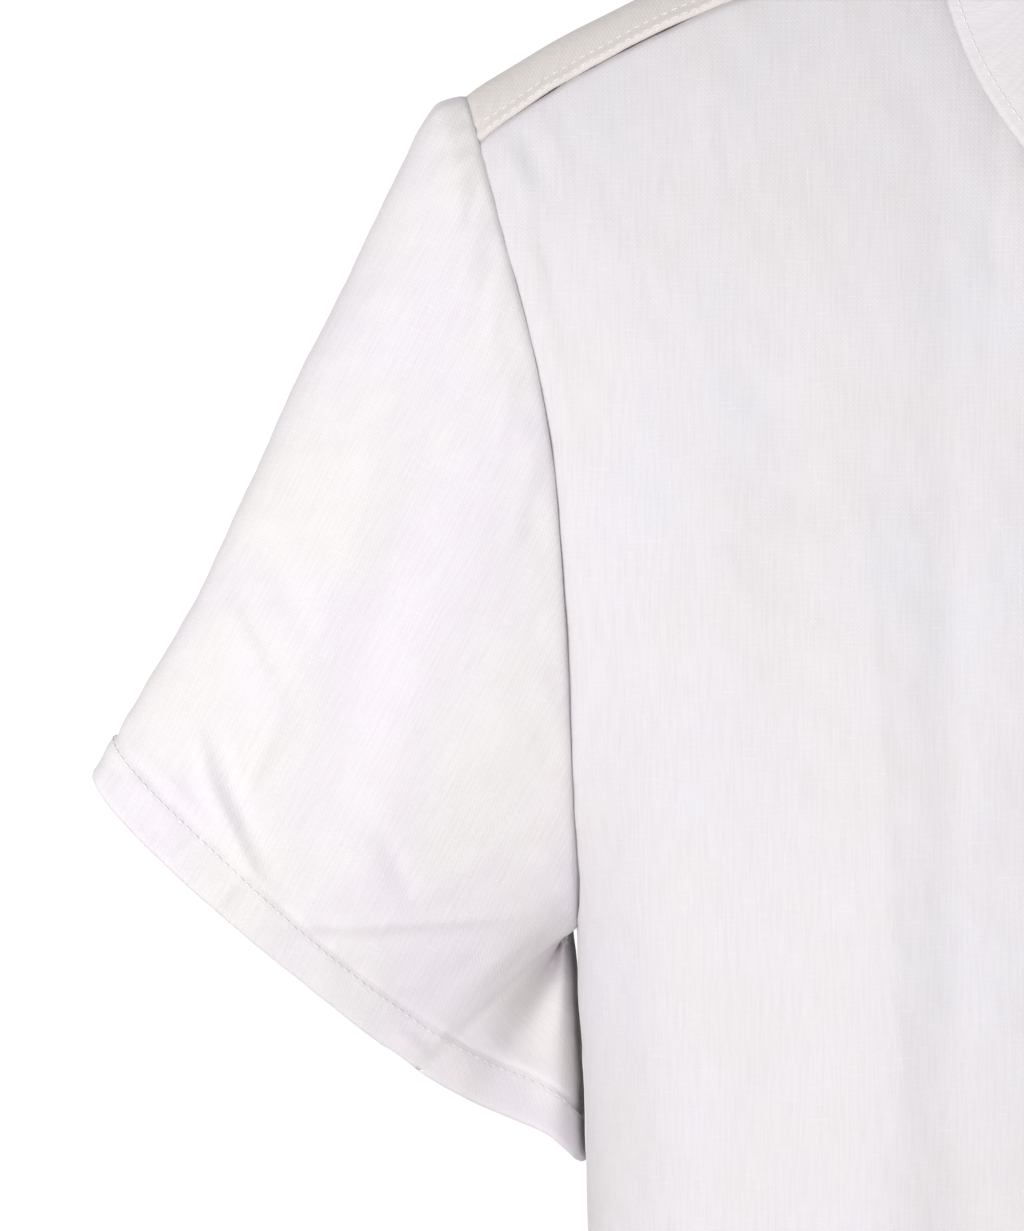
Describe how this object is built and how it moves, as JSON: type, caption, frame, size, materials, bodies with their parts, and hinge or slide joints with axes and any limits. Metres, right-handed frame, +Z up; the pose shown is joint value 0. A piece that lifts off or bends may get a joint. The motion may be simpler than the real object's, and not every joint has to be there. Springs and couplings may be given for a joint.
{
  "type": "short-sleeve button-up shirt",
  "caption": "Hollow, filled-out short-sleeve shirt of pale linen with a turn-down collar, buttoned front placket, forward shoulder yoke and turned hems.",
  "frame": {"origin": "middle of the neck at the height where the shoulder line starts beside it", "axes": "+Z up along the standing figure, -Y out of the front, +X towards the wearer's left sleeve"},
  "size_m": [0.6674, 0.2574, 0.7559],
  "materials": {
    "back": "matt woven linen",
    "collar_leaf": "matt woven linen",
    "collar_stand": "matt woven linen",
    "front_placket": "matt woven linen",
    "left_front": "matt woven linen",
    "left_sleeve": "matt woven linen",
    "right_front": "matt woven linen",
    "right_sleeve": "matt woven linen",
    "yoke": "matt woven linen",
    "button": "satin"
  },
  "bodies": {
    "root": {"back": "back", "collar_leaf": "collar_leaf", "collar_stand": "collar_stand", "front_placket": "front_placket", "left_front": "left_front", "left_sleeve": "left_sleeve", "right_front": "right_front", "right_sleeve": "right_sleeve", "yoke": "yoke", "button_1": "button", "button_2": "button", "button_3": "button", "button_4": "button", "button_5": "button", "button_6": "button", "button_7": "button"}
  },
  "joints": []
}
